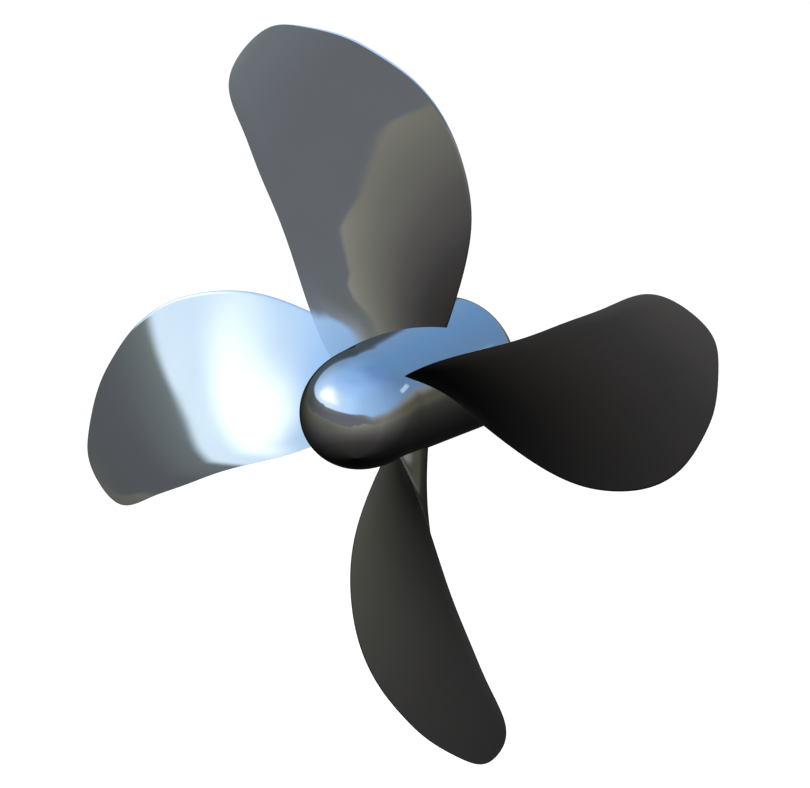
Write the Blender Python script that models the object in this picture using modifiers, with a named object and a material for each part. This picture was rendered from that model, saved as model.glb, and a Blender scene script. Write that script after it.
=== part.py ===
"""Four-bladed ship propeller, fixed pitch, right-handed, cast in stainless steel.

The shaft axis lies along world Y: the rounded nose points aft, to -Y, and the shaft
enters from +Y. The origin is the centre of the boss's forward face.
Lengths are in metres and angles in degrees. Every piece is modelled round the shaft
axis as local Z, with forward upwards, and an empty tips that axis over to world Y.
A half section is a list of (radius, height) points, swept round that axis.
"""
import math

import bmesh
import bpy
import numpy as np

# Blades
TIP_RADIUS = 1.0
BLADES = 4
FIRST_BLADE_TURN = -11.3      # reference line of blade 1, from straight up towards +X
PITCH_RATIO = 0.804           # pitch over diameter, greatest at PITCH_STATION
PITCH_STATION = 0.62
PITCH_RELIEF = 0.20           # eases the pitch towards the root and the tip
RAKE = -0.423                 # reference line from the boss face, over the tip radius
RAKE_STATION = 0.68
RAKE_CURL = 0.19              # curls the reference line forward at the root and the tip
AXIS_THICKNESS = 0.084        # thickness carried in to the shaft axis, as drawings give it
TIP_THICKNESS = 0.008
EDGE_THICKNESS = 0.004
CHORD_STEPS = 14
RADIAL_STEPS = 24

# Station as a part of the tip radius, then the angles of the trailing and leading
# edges from the blade's reference line. The first one lies inside the boss, where the
# blade is trimmed to it.
OUTLINE = (
    (0.13, -30.50, 37.50),
    (0.30, -23.25, 36.25),
    (0.50, -18.25, 32.50),
    (0.65, -17.25, 26.75),
    (0.80, -17.00, 18.25),
    (0.90, -16.50, 9.00),
    (0.96, -12.75, 1.25),
    (1.00, -7.00, -7.00),
)
ROOT_STATION = OUTLINE[0][0]

# Boss and nose
BOSS_FORWARD_RADIUS = 0.1845
BOSS_EDGE_ROUND = 0.044
NOSE_RADIUS = 0.1565
NOSE_START = -0.465           # where the boss's taper passes into the rounded nose
NOSE_LENGTH = 0.218
NOSE_FULLNESS = 2.35          # 2 is an ellipse, and more is fuller
SEAM = -0.520                 # joint between the boss and the screwed nose cap
FIT_GAP = 0.0003
TURNED_STEPS = 48
NOSE_STEPS = 14
EDGE_STEPS = 6

# Shaft bore, with a 1 in 12 taper on the diameter, and its keyway
BORE_FORWARD_RADIUS = 0.075
BORE_TAPER = 1 / 24
KEYWAY_WIDTH = 0.036
KEYWAY_DEPTH = 0.0085
KEYWAY_TURN = FIRST_BLADE_TURN + 45

# Forward seal and the gland ring that holds it in
SEAL_RECESS_RADIUS = 0.100
SEAL_RECESS_FLOOR = -0.036
SEAL_INNER_RADIUS = 0.0905
GLAND_RECESS_RADIUS = 0.125
GLAND_RECESS_FLOOR = -0.016
GLAND_INNER_RADIUS = 0.091
GLAND_SCREWS = 8
GLAND_SCREW_CIRCLE = 0.108

# Screwed cap spigot, shaft nut and its keeper
SPIGOT_RADIUS = 0.135
SPIGOT_FLOOR = -0.498
CAP_HOLLOW_RADIUS = 0.120
CAP_HOLLOW_DEPTH = 0.160
CAP_HOLLOW_STEPS = 8
NUT_ACROSS_FLATS = 0.145
NUT_HEIGHT = 0.080
NUT_BORE_RADIUS = 0.050
KEEPER_WIDTH = 0.030
KEEPER_LENGTH = 0.060
KEEPER_HEIGHT = 0.012
KEEPER_SCREW_SPACING = 0.036

# Socket head screws, as M10
SCREW_RADIUS = 0.005
SCREW_LENGTH = 0.022
HEAD_RADIUS = 0.008
HEAD_HEIGHT = 0.010
SOCKET_RADIUS = 0.0046
SOCKET_DEPTH = 0.005
HOLE_CLEARANCE = 0.0005
HOLE_DEPTH_OVER = 0.003       # a tapped hole runs this much deeper than its screw
SCREW_SIDES = 16

CUT_OVER = 0.010              # how far a cutter reaches past the face it opens


def new_collection(name):
    """Add a collection to the scene."""
    made = bpy.data.collections.new(name)
    bpy.context.scene.collection.children.link(made)
    return made


for startup_object in list(bpy.data.objects):
    bpy.data.objects.remove(startup_object, do_unlink=True)
parts = new_collection("ship_propeller")
cutters = new_collection("cutters")
shaft_axis = bpy.data.objects.new("shaft_axis", None)
shaft_axis.rotation_euler = (math.radians(-90), 0, 0)
parts.objects.link(shaft_axis)


def material(name, colour, roughness, metallic):
    """A Principled surface for one sort of piece."""
    made = bpy.data.materials.new(name)
    made.use_nodes = True
    shader = made.node_tree.nodes["Principled BSDF"]
    shader.inputs["Base Color"].default_value = (*colour, 1)
    shader.inputs["Roughness"].default_value = roughness
    shader.inputs["Metallic"].default_value = metallic
    return made


def place(name, mesh, surface):
    """Add a piece on the shaft axis."""
    piece = bpy.data.objects.new(name, mesh)
    parts.objects.link(piece)
    piece.parent = shaft_axis
    if not mesh.materials:
        mesh.materials.append(surface)
    return piece


def place_cutter(name, mesh):
    """Add a cutter, which is drawn as wire and isn't a piece."""
    cutter = bpy.data.objects.new(name, mesh)
    cutters.objects.link(cutter)
    cutter.parent = shaft_axis
    cutter.hide_render = True
    cutter.display_type = "WIRE"
    return cutter


def cut(piece, cutter):
    """Take the cutter's shape out of the piece."""
    step = piece.modifiers.new(cutter.name, "BOOLEAN")
    step.operation = "DIFFERENCE"
    step.solver = "EXACT"
    step.object = cutter


def half_section(name, profile, closed):
    """A mesh of the edges along a half section."""
    mesh = bpy.data.meshes.new(name)
    count = len(profile)
    edges = [(i, i + 1) for i in range(count - 1)]
    if closed:
        edges.append((count - 1, 0))
    mesh.from_pydata([(radius, 0, height) for radius, height in profile], edges, [])
    return mesh


def sweep(piece, steps=TURNED_STEPS):
    """Turn a half section all the way round the shaft axis."""
    turning = piece.modifiers.new("turning", "SCREW")
    turning.axis = "Z"
    turning.steps = steps
    turning.render_steps = steps
    turning.use_merge_vertices = True
    turning.merge_threshold = 0.00001


def mesh_from(made, name):
    """Turn a finished bmesh into a mesh."""
    mesh = bpy.data.meshes.new(name)
    made.to_mesh(mesh)
    made.free()
    return mesh


def prisms(name, radius, low, high, places, sides):
    """A mesh of upright prisms between two heights, one at each (x, y) place."""
    made = bmesh.new()
    for x, y in places:
        new = bmesh.ops.create_cone(
            made, cap_ends=True, segments=sides, radius1=radius, radius2=radius, depth=high - low)
        bmesh.ops.translate(made, verts=new["verts"], vec=(x, y, (low + high) / 2))
    return mesh_from(made, name)


def bar(name, size, middle):
    """A mesh of a box, given its size and the place of its middle."""
    made = bmesh.new()
    bmesh.ops.create_cube(made, size=1)
    bmesh.ops.scale(made, verts=made.verts, vec=size)
    bmesh.ops.translate(made, verts=made.verts, vec=middle)
    return mesh_from(made, name)


def on_circle(radius, count, first_turn):
    """Places evenly spaced on a circle round the shaft axis."""
    turns = [math.radians(first_turn + 360 * k / count) for k in range(count)]
    return [(radius * math.sin(turn), -radius * math.cos(turn)) for turn in turns]


def smooth_curve(points):
    """A natural cubic spline through (position, value) points, as a function."""
    x, y = np.array(points).T
    gaps, slopes = np.diff(x), np.diff(y) / np.diff(x)
    count = len(x)
    system, right = np.eye(count), np.zeros(count)
    for i in range(1, count - 1):
        system[i, i - 1:i + 2] = gaps[i - 1], 2 * (gaps[i - 1] + gaps[i]), gaps[i]
        right[i] = slopes[i] - slopes[i - 1]
    bend = np.linalg.solve(system, right)

    def value(at):
        i = min(max(int(np.searchsorted(x, at)) - 1, 0), count - 2)
        before, after, gap = at - x[i], x[i + 1] - at, gaps[i]
        straight = (y[i] * after + y[i + 1] * before) / gap
        return straight + (bend[i] * (after ** 3 / gap - gap * after)
                           + bend[i + 1] * (before ** 3 / gap - gap * before))

    return value


def edge_curve():
    """The angle of the blade's edge, as one curve round the tip.

    The position runs from the trailing root over the tip, at 0, to the leading root.
    Its square is the distance in from the tip, so the edge turns the tip smoothly.
    """
    trailing = [(-math.sqrt(1 - station), back) for station, back, front in OUTLINE]
    leading = [(math.sqrt(1 - station), front) for station, back, front in OUTLINE[-2::-1]]
    return smooth_curve(trailing + leading)


def blade_point(station, lead):
    """A point of the pitch surface, at a station and an angle from the reference line."""
    pitch = 2 * TIP_RADIUS * (PITCH_RATIO - PITCH_RELIEF * (station - PITCH_STATION) ** 2)
    rake = TIP_RADIUS * (RAKE + RAKE_CURL * (station - RAKE_STATION) ** 2)
    radius = station * TIP_RADIUS
    turn = math.radians(lead)
    return radius * math.sin(turn), -radius * math.cos(turn), rake + pitch * lead / 360


def blade_thickness(station, chord):
    """Thickness of the flat-faced section, thin at both edges and at the tip."""
    middle = TIP_THICKNESS + (AXIS_THICKNESS - TIP_THICKNESS) * (1 - station)
    return EDGE_THICKNESS + (middle - EDGE_THICKNESS) * 4 * chord * (1 - chord)


def blade_mesh():
    """The blade's driving face on its pitch surface, with its thickness as weights."""
    edge = edge_curve()
    reach = math.sqrt(1 - ROOT_STATION)
    made = bmesh.new()
    bmesh.ops.create_grid(made, x_segments=CHORD_STEPS, y_segments=RADIAL_STEPS, size=1)
    weights = made.verts.layers.deform.verify()
    for vert in made.verts:
        chord = (vert.co.x + 1) / 2
        inward = reach * (1 - vert.co.y) / 2
        station = 1 - inward * inward
        back, front = edge(-inward), edge(inward)
        vert.co = blade_point(station, back + (front - back) * chord)
        vert[weights][0] = blade_thickness(station, chord) / AXIS_THICKNESS
    bmesh.ops.remove_doubles(made, verts=made.verts, dist=0.00001)
    return mesh_from(made, "blade")


def nose_profile(start, steps):
    """The outer section of the nose, from a height down to its tip on the axis."""
    power = 2 / NOSE_FULLNESS
    first = math.acos(((NOSE_START - start) / NOSE_LENGTH) ** (1 / power))
    points = []
    for i in range(steps):
        angle = first * (1 - i / steps)
        points.append((NOSE_RADIUS * math.sin(angle) ** power,
                       NOSE_START - NOSE_LENGTH * math.cos(angle) ** power))
    return points + [(0, NOSE_START - NOSE_LENGTH)]


def boss_side():
    """The outer section of the boss, from its forward face down to the seam."""
    centre = BOSS_FORWARD_RADIUS - BOSS_EDGE_ROUND
    points = []
    for i in range(EDGE_STEPS + 1):
        angle = math.pi / 2 * i / EDGE_STEPS
        points.append((centre + BOSS_EDGE_ROUND * math.sin(angle),
                       BOSS_EDGE_ROUND * (math.cos(angle) - 1)))
    return points + [(NOSE_RADIUS, NOSE_START), nose_profile(SEAM, 1)[0]]


def bore_radius(height):
    """Radius of the tapered shaft bore."""
    return BORE_FORWARD_RADIUS + (height - SEAL_RECESS_FLOOR) * BORE_TAPER


def keyway_cutter():
    """A bar along the bore's wall, sheared to follow the taper."""
    length = SEAL_RECESS_FLOOR - SPIGOT_FLOOR + 2 * CUT_OVER
    middle = (SEAL_RECESS_FLOOR + SPIGOT_FLOOR) / 2
    depth = BORE_FORWARD_RADIUS
    outer = bore_radius(middle) + KEYWAY_DEPTH
    mesh = bar("keyway", (KEYWAY_WIDTH, depth, length), (0, depth / 2 - outer, middle))
    for vert in mesh.vertices:
        vert.co.y -= (vert.co.z - middle) * BORE_TAPER
    cutter = place_cutter("keyway", mesh)
    cutter.rotation_euler = (0, 0, math.radians(KEYWAY_TURN))
    return cutter


def make_boss(steel):
    """The cast boss, with its tapered bore, keyway and stepped recesses."""
    profile = boss_side() + [
        (SPIGOT_RADIUS, SEAM),
        (SPIGOT_RADIUS, SPIGOT_FLOOR),
        (bore_radius(SPIGOT_FLOOR), SPIGOT_FLOOR),
        (BORE_FORWARD_RADIUS, SEAL_RECESS_FLOOR),
        (SEAL_RECESS_RADIUS, SEAL_RECESS_FLOOR),
        (SEAL_RECESS_RADIUS, GLAND_RECESS_FLOOR),
        (GLAND_RECESS_RADIUS, GLAND_RECESS_FLOOR),
        (GLAND_RECESS_RADIUS, 0),
    ]
    boss = place("boss", half_section("boss", profile, closed=True), steel)
    sweep(boss)
    cut(boss, keyway_cutter())
    return boss


def make_blades(steel):
    """The blades, each trimmed at its root to the boss."""
    side = [(BOSS_FORWARD_RADIUS, -BOSS_EDGE_ROUND)] + nose_profile(NOSE_START, NOSE_STEPS)[:-1]
    profile = [(0, -BOSS_EDGE_ROUND)]
    profile += [(radius + FIT_GAP, height) for radius, height in side]
    profile += [(0, NOSE_START - NOSE_LENGTH)]
    root = place_cutter("root_trim", half_section("root_trim", profile, closed=False))
    sweep(root)
    mesh = blade_mesh()
    for k in range(BLADES):
        blade = place("blade_%d" % (k + 1), mesh, steel)
        blade.rotation_euler = (0, 0, math.radians(FIRST_BLADE_TURN + 360 * k / BLADES))
        blade.vertex_groups.new(name="thickness")
        section = blade.modifiers.new("section", "SOLIDIFY")
        section.thickness = AXIS_THICKNESS
        section.offset = -1
        section.vertex_group = "thickness"
        cut(blade, root)


def make_nose_cap(steel):
    """The hollow nose cap, which screws into the boss by its spigot."""
    top = SPIGOT_FLOOR - FIT_GAP
    profile = []
    for i in range(CAP_HOLLOW_STEPS + 1):
        angle = math.pi / 2 * i / CAP_HOLLOW_STEPS
        profile.append((CAP_HOLLOW_RADIUS * math.sin(angle),
                        top - CAP_HOLLOW_DEPTH * math.cos(angle)))
    spigot = SPIGOT_RADIUS - FIT_GAP
    profile += [(spigot, top), (spigot, SEAM - FIT_GAP)]
    profile += nose_profile(SEAM - FIT_GAP, NOSE_STEPS)
    sweep(place("nose_cap", half_section("nose_cap", profile, closed=False), steel))


def make_nut(steel):
    """The hexagon shaft nut, seated on the boss inside the nose cap."""
    top = SPIGOT_FLOOR - FIT_GAP
    low = top - NUT_HEIGHT
    corner = NUT_ACROSS_FLATS / 2 / math.cos(math.pi / 6)
    nut = place("shaft_nut", prisms("shaft_nut", corner, low, top, [(0, 0)], 6), steel)
    hole = prisms("nut_hole", NUT_BORE_RADIUS, low - CUT_OVER, top + CUT_OVER, [(0, 0)], TURNED_STEPS)
    cut(nut, place_cutter("nut_hole", hole))


def make_ring(name, inner, outer, top, low, surface):
    """A plain turned ring."""
    profile = [(inner, top), (outer, top), (outer, low), (inner, low)]
    ring = place(name, half_section(name, profile, closed=True), surface)
    sweep(ring)
    return ring


def make_screws(name, places, head_face, way, surface, holders):
    """Socket head screws, and their holes in the pieces that they go through.

    The heads' faces lie at a height and look up the shaft axis for a way of 1, or
    down it for -1.
    """
    seat = head_face - way * HEAD_HEIGHT
    end = seat - way * SCREW_LENGTH
    low, high = sorted((head_face, end - way * HOLE_DEPTH_OVER))
    holes = prisms(name + "_holes", SCREW_RADIUS + HOLE_CLEARANCE, low, high, places, SCREW_SIDES)
    hole_cutter = place_cutter(name + "_holes", holes)
    for holder in holders:
        cut(holder, hole_cutter)
    low, high = sorted((head_face - way * SOCKET_DEPTH, head_face + way * CUT_OVER))
    sockets = prisms(name + "_sockets", SOCKET_RADIUS, low, high, places, 6)
    socket_cutter = place_cutter(name + "_sockets", sockets)
    profile = [(0, head_face), (HEAD_RADIUS, head_face), (HEAD_RADIUS, seat)]
    profile += [(SCREW_RADIUS, seat), (SCREW_RADIUS, end), (0, end)]
    if way < 0:
        profile.reverse()
    mesh = half_section(name, profile, closed=False)
    for k, (x, y) in enumerate(places):
        screw = place("%s_%d" % (name, k + 1), mesh, surface)
        screw.location = (x, y, 0)
        sweep(screw, SCREW_SIDES)
        cut(screw, socket_cutter)


def make_gland(steel, rubber, boss):
    """The rubber seal ring and the ring that traps it, screwed flush into the boss."""
    make_ring("seal_ring", SEAL_INNER_RADIUS, SEAL_RECESS_RADIUS - FIT_GAP,
              GLAND_RECESS_FLOOR - FIT_GAP, SEAL_RECESS_FLOOR + FIT_GAP, rubber)
    gland = make_ring("gland_ring", GLAND_INNER_RADIUS, GLAND_RECESS_RADIUS - FIT_GAP,
                      0, GLAND_RECESS_FLOOR + FIT_GAP, steel)
    places = on_circle(GLAND_SCREW_CIRCLE, GLAND_SCREWS, FIRST_BLADE_TURN)
    head_face = -FIT_GAP
    pocket_floor = head_face - HEAD_HEIGHT - FIT_GAP
    pockets = prisms("head_pockets", HEAD_RADIUS + HOLE_CLEARANCE, pocket_floor, CUT_OVER,
                     places, 2 * SCREW_SIDES)
    cut(gland, place_cutter("head_pockets", pockets))
    make_screws("gland_screw", places, head_face, 1, steel, (boss, gland))


def make_keeper(steel, boss):
    """The plate that stops the nut turning, screwed to the boss beside one flat."""
    top = SPIGOT_FLOOR - FIT_GAP
    out = NUT_ACROSS_FLATS / 2 + FIT_GAP + KEEPER_WIDTH / 2
    size = (KEEPER_WIDTH, KEEPER_LENGTH, KEEPER_HEIGHT)
    keeper = place("nut_keeper", bar("nut_keeper", size, (out, 0, top - KEEPER_HEIGHT / 2)), steel)
    half = KEEPER_SCREW_SPACING / 2
    head_face = top - KEEPER_HEIGHT - FIT_GAP - HEAD_HEIGHT
    make_screws("keeper_screw", [(out, -half), (out, half)], head_face, -1, steel, (boss, keeper))


def main():
    """Build the propeller."""
    cast = material("cast_stainless_steel", (0.55, 0.56, 0.57), 0.12, 1.0)
    machined = material("machined_stainless_steel", (0.50, 0.51, 0.52), 0.30, 1.0)
    rubber = material("nitrile_rubber", (0.02, 0.02, 0.02), 0.75, 0.0)
    boss = make_boss(cast)
    make_blades(cast)
    make_nose_cap(cast)
    make_nut(machined)
    make_gland(machined, rubber, boss)
    make_keeper(machined, boss)


main()
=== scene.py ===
"""Looks of a four-bladed, fixed-pitch ship propeller in polished stainless steel.

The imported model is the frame, and finer ground, turned and milled pieces stand for its
solids, each where its solid lies. Lengths are in metres and angles in degrees. +Z is up,
the shaft lies along Y, the shaft enters from +Y and the rounded nose points to -Y.
A half section is a list of (radius, y) points, turned round the shaft axis.
"""
import logging
import math
from collections.abc import Callable, Iterator
from contextlib import contextmanager
from dataclasses import dataclass, field
from enum import Enum
from functools import cached_property
from typing import Any, ClassVar

import bmesh
import bpy
import numpy as np
from mathutils import Matrix, Vector


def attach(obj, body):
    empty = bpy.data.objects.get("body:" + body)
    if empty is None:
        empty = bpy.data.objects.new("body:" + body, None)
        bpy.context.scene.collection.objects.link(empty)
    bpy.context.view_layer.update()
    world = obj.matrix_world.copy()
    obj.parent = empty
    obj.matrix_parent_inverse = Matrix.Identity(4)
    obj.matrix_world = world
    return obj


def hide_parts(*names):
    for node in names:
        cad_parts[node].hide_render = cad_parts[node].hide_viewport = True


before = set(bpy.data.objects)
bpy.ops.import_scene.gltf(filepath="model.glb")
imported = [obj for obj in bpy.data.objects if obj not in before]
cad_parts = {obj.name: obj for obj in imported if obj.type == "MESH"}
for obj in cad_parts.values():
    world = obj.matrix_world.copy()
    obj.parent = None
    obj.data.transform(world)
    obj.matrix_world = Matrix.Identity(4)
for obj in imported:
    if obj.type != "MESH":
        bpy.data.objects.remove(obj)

LOG = logging.getLogger("ship_propeller")
Span = tuple[float, float]
Section = list[Span]
Stops = tuple[tuple[float, str | float], ...]
Thing = bpy.types.Object
Material = bpy.types.Material
Tree = bpy.types.NodeTree
Socket = bpy.types.NodeSocket
COLOUR_MIX = {"data_type": "RGBA", "out": 2}       # what makes a Mix node mix colours
MERGE = 0.000002          # points closer than this become one
SMOOTH_ANGLE = 32.0       # faces that meet at less are shaded as one surface
CORNER_ANGLE = 25.0       # a half section that turns by more has a corner
EDGE_ANGLE = 35.0         # faces that meet at more have an edge to break
FACING = 0.9              # a face looks one way if its normal goes that way by more


class Slot(Enum):
    """The record's material slots."""

    CAST = "cast_steel"
    MACHINED = "machined_steel"
    RUBBER = "rubber"


class Way(Enum):
    """Which way along the shaft a screw's head looks."""

    FORWARD = 1
    AFT = -1


class Marks(Enum):
    """The run of the fine marks that polishing leaves."""

    ALONG_BLADE = "along_blade"
    ROUND_SHAFT = "round_shaft"


def linear(colour: str) -> tuple[float, float, float, float]:
    """Turn an sRGB hex colour into linear values.

    Args:
        colour: the colour as "#rrggbb".

    Returns:
        Linear red, green and blue, and an alpha of 1.
    """
    parts = [int(colour[i:i + 2], 16) / 255 for i in (1, 3, 5)]
    red, green, blue = (p / 12.92 if p <= 0.04045 else ((p + 0.055) / 1.055) ** 2.4 for p in parts)
    return red, green, blue, 1.0


def set_sockets(tree: Tree, node: bpy.types.Node, sockets: dict[Any, Any]) -> None:
    """Give a node's inputs their values and their links.

    Args:
        tree: the tree that the node is in.
        node: the node.
        sockets: an input's name or number, with the value or the output that it takes.
    """
    for name, value in sockets.items():
        if isinstance(value, Socket):
            tree.links.new(value, node.inputs[name])
        else:
            node.inputs[name].default_value = value


def add_node(tree: Tree, kind: str, sockets: dict[Any, Any] | None = None, out: str | int = 0,
             stops: Stops = (), **settings: Any) -> Socket:
    """Add a node with its settings, its values and its links.

    Args:
        tree: the tree that the node goes into.
        kind: the node's type, without the word ShaderNode.
        sockets: an input's name or number, with the value or the output that it takes.
        out: the name or number of the wanted output.
        stops: a ramp's stops, as (position, hex colour) or (position, level).
        settings: the node's own settings.

    Returns:
        The wanted output.
    """
    node = tree.nodes.new("ShaderNode" + kind)
    for name, value in settings.items():
        setattr(node, name, value)
    set_sockets(tree, node, sockets or {})
    if stops:
        elements = node.color_ramp.elements
        while len(elements) < len(stops):
            elements.new(1.0)
        for element, (position, value) in zip(elements, stops):
            element.position = position
            element.color = linear(value) if isinstance(value, str) else (value, value, value, 1.0)
    return node.outputs[out]


class Finish:
    """A finish of two tones, which its own class draws on a new material's shader."""

    name: ClassVar[str]
    colour: str
    shade: str

    @cached_property
    def material(self) -> Material:
        """Start the material.

        Returns:
            It, with its node tree.
        """
        material = bpy.data.materials.new(self.name)
        material.use_nodes = True
        return material

    @property
    def tree(self) -> Tree:
        """Give the material's node tree."""
        return self.material.node_tree

    @cached_property
    def place(self) -> Socket:
        """Give the Object coordinates."""
        return add_node(self.tree, "TexCoord", out="Object")

    def from_shaft(self) -> Socket:
        """Work out how far a place lies from the shaft axis.

        Returns:
            The distance.
        """
        flat = add_node(self.tree, "VectorMath", {0: self.place, 1: (1.0, 0.0, 1.0)},
                        operation="MULTIPLY")
        return add_node(self.tree, "VectorMath", {0: flat}, "Value", operation="LENGTH")

    def draw(self) -> tuple[Socket, dict[str, Any]]:
        """Draw what the surface shows.

        Returns:
            How far the colour goes over to the shade, and what the shader's inputs take.
        """
        raise NotImplementedError

    def build(self) -> Material:
        """Make the material.

        Returns:
            The material, with its shader drawn.
        """
        share, sockets = self.draw()
        tone = add_node(self.tree, "Mix", {
            0: share, 6: linear(self.colour), 7: linear(self.shade)}, **COLOUR_MIX)
        set_sockets(self.tree, self.tree.nodes["Principled BSDF"], {"Base Color": tone, **sockets})
        return self.material


@dataclass(frozen=True)
class PolishedSteel(Finish):
    """Cast stainless steel, ground by belt and then polished to a mirror.

    The eye sees sharp reflections of its surroundings, softened a little where the
    polish is thinner, with hair-fine marks along the way that the wheel went.
    """

    marks: Marks
    colour: str = "#cecfd1"
    shade: str = "#c5c7ca"
    roughness: float = 0.050
    patch_noise: Span = (0.35, 0.70)         # the noise from thick to thin polish,
    haze: Span = (0.75, 1.5)       # and the roughness there, in parts of it
    mark_noise: Span = (0.45, 0.75)          # the noise from no mark to a full one,
    hair: float = 0.5              # which adds this much, in parts of it
    patch_size: float = 0.140      # patches of thicker and thinner polish
    mark_width: float = 0.0022     # the real marks are 0.05 mm, too fine to show
    mark_length: float = 0.110
    mark_depth: float = 0.0000012

    @property
    def name(self) -> str:
        """Name the material after the run of its marks."""
        return "polished_cast_stainless_steel_" + self.marks.value

    def draw(self) -> tuple[Socket, dict[str, Any]]:
        """Draw the patches of the polish and its marks.

        Returns:
            The patches, and what the shader's inputs take.
        """
        tree = self.tree
        patches = add_node(tree, "TexNoise", {
            "Vector": self.place, "Scale": 1 / self.patch_size, "Detail": 4.0,
            "Roughness": 0.55})
        marks = add_node(tree, "TexNoise", {
            "Vector": self.run_of_marks(), "Scale": 1.0, "Detail": 3.0, "Roughness": 0.6})
        (start, end), (smooth, rough) = self.patch_noise, self.haze
        haze = add_node(tree, "MapRange", {
            "Value": patches, "From Min": start, "From Max": end,
            "To Min": self.roughness * smooth, "To Max": self.roughness * rough})
        start, end = self.mark_noise
        hair = add_node(tree, "MapRange", {
            "Value": marks, "From Min": start, "From Max": end,
            "To Max": self.roughness * self.hair})
        return patches, {
            "Metallic": 1.0,
            "Roughness": add_node(tree, "Math", {0: haze, 1: hair}, operation="ADD"),
            "Normal": add_node(tree, "Bump", {"Height": marks, "Distance": self.mark_depth})}

    def run_of_marks(self) -> Socket:
        """Stretch the coordinates, so that marks are long one way and fine the other.

        Returns:
            The stretched coordinates.
        """
        across, along = 1 / self.mark_width, 1 / self.mark_length
        place, stretch = self.place, (along, across, along)
        if self.marks is Marks.ALONG_BLADE:
            place = add_node(self.tree, "Attribute", out="Vector", attribute_name="blade_place")
            stretch = (across, along, 1.0)
        return add_node(self.tree, "VectorMath", {0: place, 1: stretch}, operation="MULTIPLY")


@dataclass(frozen=True)
class MachinedSteel(Finish):
    """What steel straight from a machine shows: fine tool marks and soft patches of tone."""

    patches_per_metre: float
    roughness: float
    mark_depth: float
    mark_noise: Span = (0.3, 0.7)  # the marks' noise from smooth to rough,
    haze: Span = (0.8, 1.25)       # and the roughness there, in parts of it

    def draw(self) -> tuple[Socket, dict[str, Any]]:
        """Draw the tool marks and the patches of tone.

        Returns:
            The patches, and what the shader's inputs take.
        """
        tree = self.tree
        marks = add_node(tree, "TexNoise", {**self.run_of_marks(), "Detail": 2.0})
        patches = add_node(tree, "TexNoise", {
            "Vector": self.place, "Scale": self.patches_per_metre, "Detail": 3.0})
        (start, end), (smooth, rough) = self.mark_noise, self.haze
        haze = add_node(tree, "MapRange", {
            "Value": marks, "From Min": start, "From Max": end,
            "To Min": self.roughness * smooth, "To Max": self.roughness * rough})
        bump = add_node(tree, "Bump", {"Height": marks, "Distance": self.mark_depth})
        return patches, {"Metallic": 1.0, "Roughness": haze, "Normal": bump}

    def run_of_marks(self) -> dict[str, Any]:
        """Give the coordinates and the scale of the marks' noise."""
        raise NotImplementedError


@dataclass(frozen=True)
class TurnedSteel(MachinedSteel):
    """Stainless steel straight from the lathe.

    The tool leaves fine rings round the shaft axis, which draw the light out into
    bright fans across them.
    """

    name: ClassVar[str] = "turned_stainless_steel"
    colour: str = "#bdbec0"
    shade: str = "#adaeb1"
    patches_per_metre: float = 22.0
    roughness: float = 0.26
    mark_depth: float = 0.00001
    ring_pitch: float = 0.0016     # the real feed is 0.2 mm, too fine to show
    anisotropy: float = 0.55

    def draw(self) -> tuple[Socket, dict[str, Any]]:
        """Draw the marks and patches, and stretch the light across the rings.

        Returns:
            The patches, and what the shader's inputs take.
        """
        patches, sockets = super().draw()
        tangent = add_node(self.tree, "Tangent", direction_type="RADIAL", axis="Y")
        return patches, {**sockets, "Anisotropic": self.anisotropy, "Tangent": tangent}

    def run_of_marks(self) -> dict[str, Any]:
        """Run the marks in rings round the shaft axis.

        Returns:
            The coordinates and the scale of the marks' noise.
        """
        along = add_node(self.tree, "SeparateXYZ", {"Vector": self.place}, "Y")
        rings = add_node(self.tree, "CombineXYZ", {"X": self.from_shaft(), "Y": along})
        return {"Vector": rings, "Scale": 1 / self.ring_pitch}


@dataclass(frozen=True)
class MilledSteel(MachinedSteel):
    """Stainless steel from the milling machine, with fine straight marks.

    Inside the nut's hole the marks give way to the turns of its screw thread.
    """

    name: ClassVar[str] = "milled_stainless_steel"
    colour: str = "#b7b8ba"
    shade: str = "#a7a8ab"
    patches_per_metre: float = 35.0
    roughness: float = 0.30
    mark_depth: float = 0.000008
    mark_width: float = 0.0014     # the real marks are 0.1 mm, too fine to show
    mark_length: float = 0.020
    thread_pitch: float = 0.006
    thread_depth: float = 0.0012
    thread_radius: float = 0.0515  # the thread shows inside this radius

    def draw(self) -> tuple[Socket, dict[str, Any]]:
        """Draw the marks and patches, and the nut's thread over them.

        Returns:
            The patches, and what the shader's inputs take.
        """
        patches, sockets = super().draw()
        thread = add_node(self.tree, "Bump", {
            "Height": self.thread_turns(), "Distance": self.thread_depth,
            "Normal": sockets["Normal"]})
        return patches, {**sockets, "Normal": thread}

    def run_of_marks(self) -> dict[str, Any]:
        """Run the marks straight along Y.

        Returns:
            The coordinates and the scale of the marks' noise.
        """
        across, along = 1 / self.mark_width, 1 / self.mark_length
        straight = add_node(self.tree, "VectorMath", {
            0: self.place, 1: (across, along, across)}, operation="MULTIPLY")
        return {"Vector": straight, "Scale": 1.0}

    def thread_turns(self) -> Socket:
        """Draw the thread's turns as one long helix, inside the nut's hole alone.

        Returns:
            The height of the thread.
        """
        tree = self.tree
        axes = add_node(tree, "SeparateXYZ", {"Vector": self.place}).node.outputs
        inside = add_node(tree, "Math", {0: self.from_shaft(), 1: self.thread_radius},
                          operation="LESS_THAN")
        angle = add_node(tree, "Math", {0: axes["X"], 1: axes["Z"]}, operation="ARCTAN2")
        turn = add_node(tree, "Math", {0: angle, 1: 1 / math.tau}, operation="MULTIPLY")
        climb = add_node(tree, "Math", {0: axes["Y"], 1: 1 / self.thread_pitch, 2: turn},
                         operation="MULTIPLY_ADD")
        wave = add_node(tree, "Math", {0: climb, 1: 0.5}, operation="PINGPONG")
        return add_node(tree, "Math", {0: wave, 1: inside}, operation="MULTIPLY")


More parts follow.
